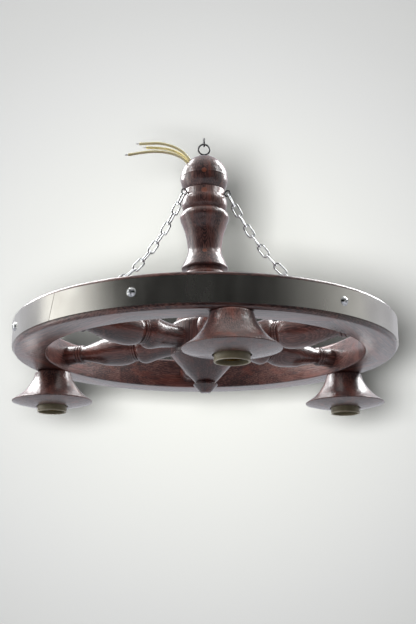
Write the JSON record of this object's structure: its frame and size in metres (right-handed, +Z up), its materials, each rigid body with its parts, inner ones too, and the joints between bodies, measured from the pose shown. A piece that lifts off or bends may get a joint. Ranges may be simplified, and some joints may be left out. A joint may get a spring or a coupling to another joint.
{
  "type": "chandelier",
  "caption": "Wagon-wheel chandelier: a turned wooden wheel with a steel tyre under a turned column, with lampholders in downward cups, slack side chains, a top eye and bare supply wires.",
  "frame": {"origin": "where a ceiling hook bears inside the upper end of the top link, on the axis of the column", "axes": "+Z up along the column; -Y towards the first lamp cup, which is the one nearest the camera; +X to the right as seen from the front"},
  "size_m": [0.5208, 0.5358, 0.3686],
  "materials": {
    "varnished_wood": "dark reddish-brown stain under high-gloss varnish",
    "tyre_steel": "bare rolled steel strip",
    "zinc_steel": "bright zinc plate",
    "brass": "drawn and pressed",
    "cream_plastic": "moulded, satin",
    "white_ceramic": "unglazed",
    "white_insulation": "extruded",
    "cream_insulation": "extruded, slightly glossy"
  },
  "bodies": {
    "support_link": {"hang_link": "zinc_steel"},
    "side_chain_1": {"chain_1": "zinc_steel"},
    "centre_contact_1": {"contact_spring_1": "brass"},
    "side_chain_2": {"chain_2": "zinc_steel"},
    "centre_contact_2": {"contact_spring_2": "brass"},
    "side_chain_3": {"chain_3": "zinc_steel"},
    "centre_contact_3": {"contact_spring_3": "brass"},
    "lamp": {"tie_rod": "zinc_steel", "rod_washer": "zinc_steel", "rod_nut": "zinc_steel", "ball": "varnished_wood", "collar": "varnished_wood", "column": "varnished_wood", "pedestal": "varnished_wood", "hub": "varnished_wood", "cone_cap": "varnished_wood", "finial_knob": "varnished_wood", "felloe_1": "varnished_wood", "felloe_2": "varnished_wood", "felloe_3": "varnished_wood", "felloe_4": "varnished_wood", "felloe_5": "varnished_wood", "felloe_6": "varnished_wood", "tyre": "tyre_steel", "tyre_screws": "zinc_steel", "spoke_1": "varnished_wood", "spoke_2": "varnished_wood", "spoke_3": "varnished_wood", "spoke_4": "varnished_wood", "spoke_5": "varnished_wood", "spoke_6": "varnished_wood", "lamp_cup_1": "varnished_wood", "lamp_cup_2": "varnished_wood", "lamp_cup_3": "varnished_wood", "nipple_1": "brass", "nipple_2": "brass", "nipple_3": "brass", "holder_cap_1": "cream_plastic", "holder_cap_2": "cream_plastic", "holder_cap_3": "cream_plastic", "holder_insert_1": "white_ceramic", "holder_insert_2": "white_ceramic", "holder_insert_3": "white_ceramic", "holder_skirt_1": "cream_plastic", "holder_skirt_2": "cream_plastic", "holder_skirt_3": "cream_plastic", "thread_shell_1": "brass", "thread_shell_2": "brass", "thread_shell_3": "brass", "lamp_lead_1": "white_insulation", "lamp_lead_2": "white_insulation", "lamp_lead_3": "white_insulation", "junction_block": "white_ceramic", "inner_wires": "cream_insulation", "supply_wire_1": "cream_insulation", "supply_wire_2": "cream_insulation", "supply_wire_3": "cream_insulation", "collar_eyes": "zinc_steel", "rim_eyes": "zinc_steel"}
  },
  "joints": [
    {"name": "lamp_swing", "type": "hinge", "parent": "support_link", "child": "lamp", "pos_m": [0, 0, -0.0102], "axis": [0, 1, 0], "range_deg": [-12, 12]},
    {"name": "chain_swing_1", "type": "hinge", "parent": "lamp", "child": "side_chain_1", "pos_m": [0.0306, -0.01767, -0.08833], "axis": [0.6326, -0.3652, -0.683], "range_deg": [-30, 30]},
    {"name": "contact_press_1", "type": "hinge", "parent": "lamp", "child": "centre_contact_1", "pos_m": [0, -0.2215, -0.3397], "axis": [-1, 0, 0], "range_deg": [0, 10], "stiffness_Nm_per_rad": 0.15},
    {"name": "chain_swing_2", "type": "hinge", "parent": "lamp", "child": "side_chain_2", "pos_m": [0, 0.03534, -0.08833], "axis": [0, 0.7304, -0.683], "range_deg": [-30, 30]},
    {"name": "contact_press_2", "type": "hinge", "parent": "lamp", "child": "centre_contact_2", "pos_m": [0.20235, 0.09009, -0.3397], "axis": [0.4067, -0.9135, 0], "range_deg": [0, 10], "stiffness_Nm_per_rad": 0.15},
    {"name": "chain_swing_3", "type": "hinge", "parent": "lamp", "child": "side_chain_3", "pos_m": [-0.0306, -0.01767, -0.08833], "axis": [-0.6326, -0.3652, -0.683], "range_deg": [-30, 30]},
    {"name": "contact_press_3", "type": "hinge", "parent": "lamp", "child": "centre_contact_3", "pos_m": [-0.19182, 0.11075, -0.3397], "axis": [0.5, 0.866, 0], "range_deg": [0, 10], "stiffness_Nm_per_rad": 0.15}
  ]
}
